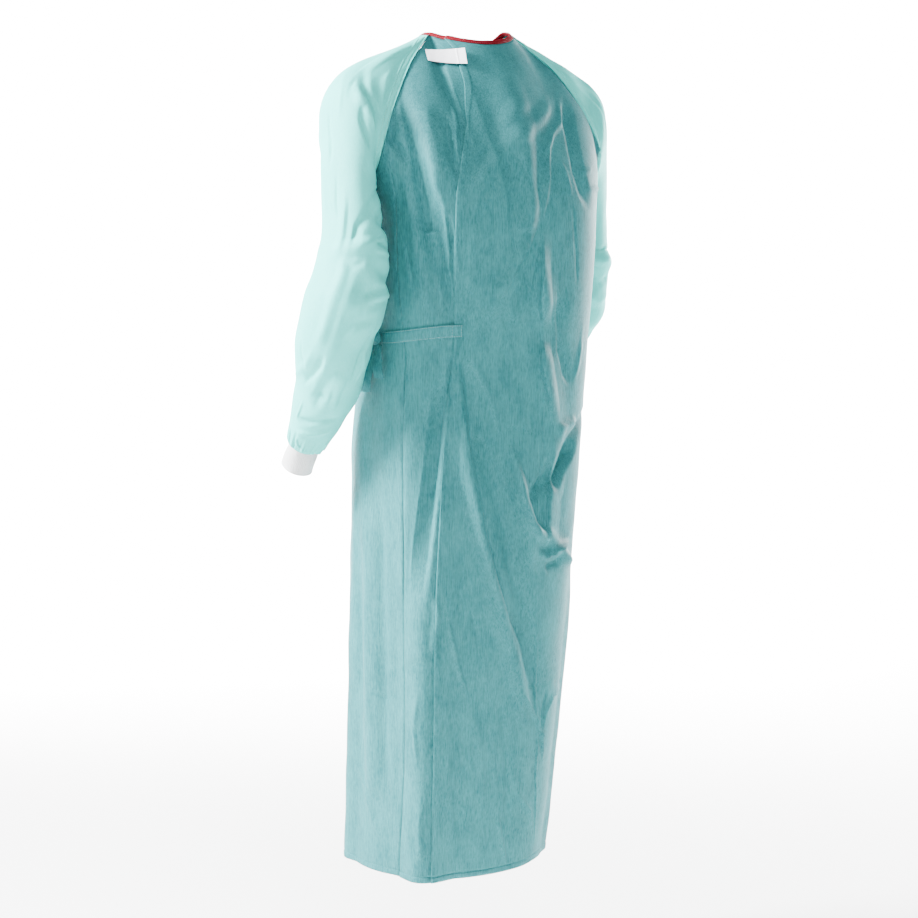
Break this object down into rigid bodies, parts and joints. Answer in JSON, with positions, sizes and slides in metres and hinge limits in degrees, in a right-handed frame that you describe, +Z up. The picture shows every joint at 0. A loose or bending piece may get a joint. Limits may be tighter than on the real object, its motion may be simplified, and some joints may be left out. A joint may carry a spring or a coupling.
{
  "type": "surgical gown",
  "caption": "Worn-shape wraparound surgical gown with raglan sleeves, knitted cuffs, bound neck, overlapping open back and waist ties, hollow with no wearer.",
  "frame": {"origin": "on the neck's axis, at the height where the gown rests on the wearer's shoulders", "axes": "+Z up, the front faces -Y, the wearer's left is +X"},
  "size_m": [0.6178, 0.5103, 1.3668],
  "materials": {
    "body_cloth": "teal streaky nonwoven, soft sheen",
    "sleeve_cloth": "pale mint smooth nonwoven, soft sheen",
    "cuff_knit": "white rib knit, matte",
    "neck_binding": "crimson folded strip, matte",
    "neck_tab": "white tape, smooth"
  },
  "bodies": {
    "root": {"front": "body_cloth", "back_left": "body_cloth", "back_right": "body_cloth", "sleeve_left": "sleeve_cloth", "sleeve_right": "sleeve_cloth", "cuff_left": "cuff_knit", "cuff_right": "cuff_knit", "neck_binding": "neck_binding", "neck_tab": "neck_tab", "tie_back": "body_cloth", "tie_front": "body_cloth", "tie_knot": "body_cloth", "tie_end_back": "body_cloth", "tie_end_front": "body_cloth"}
  },
  "joints": []
}
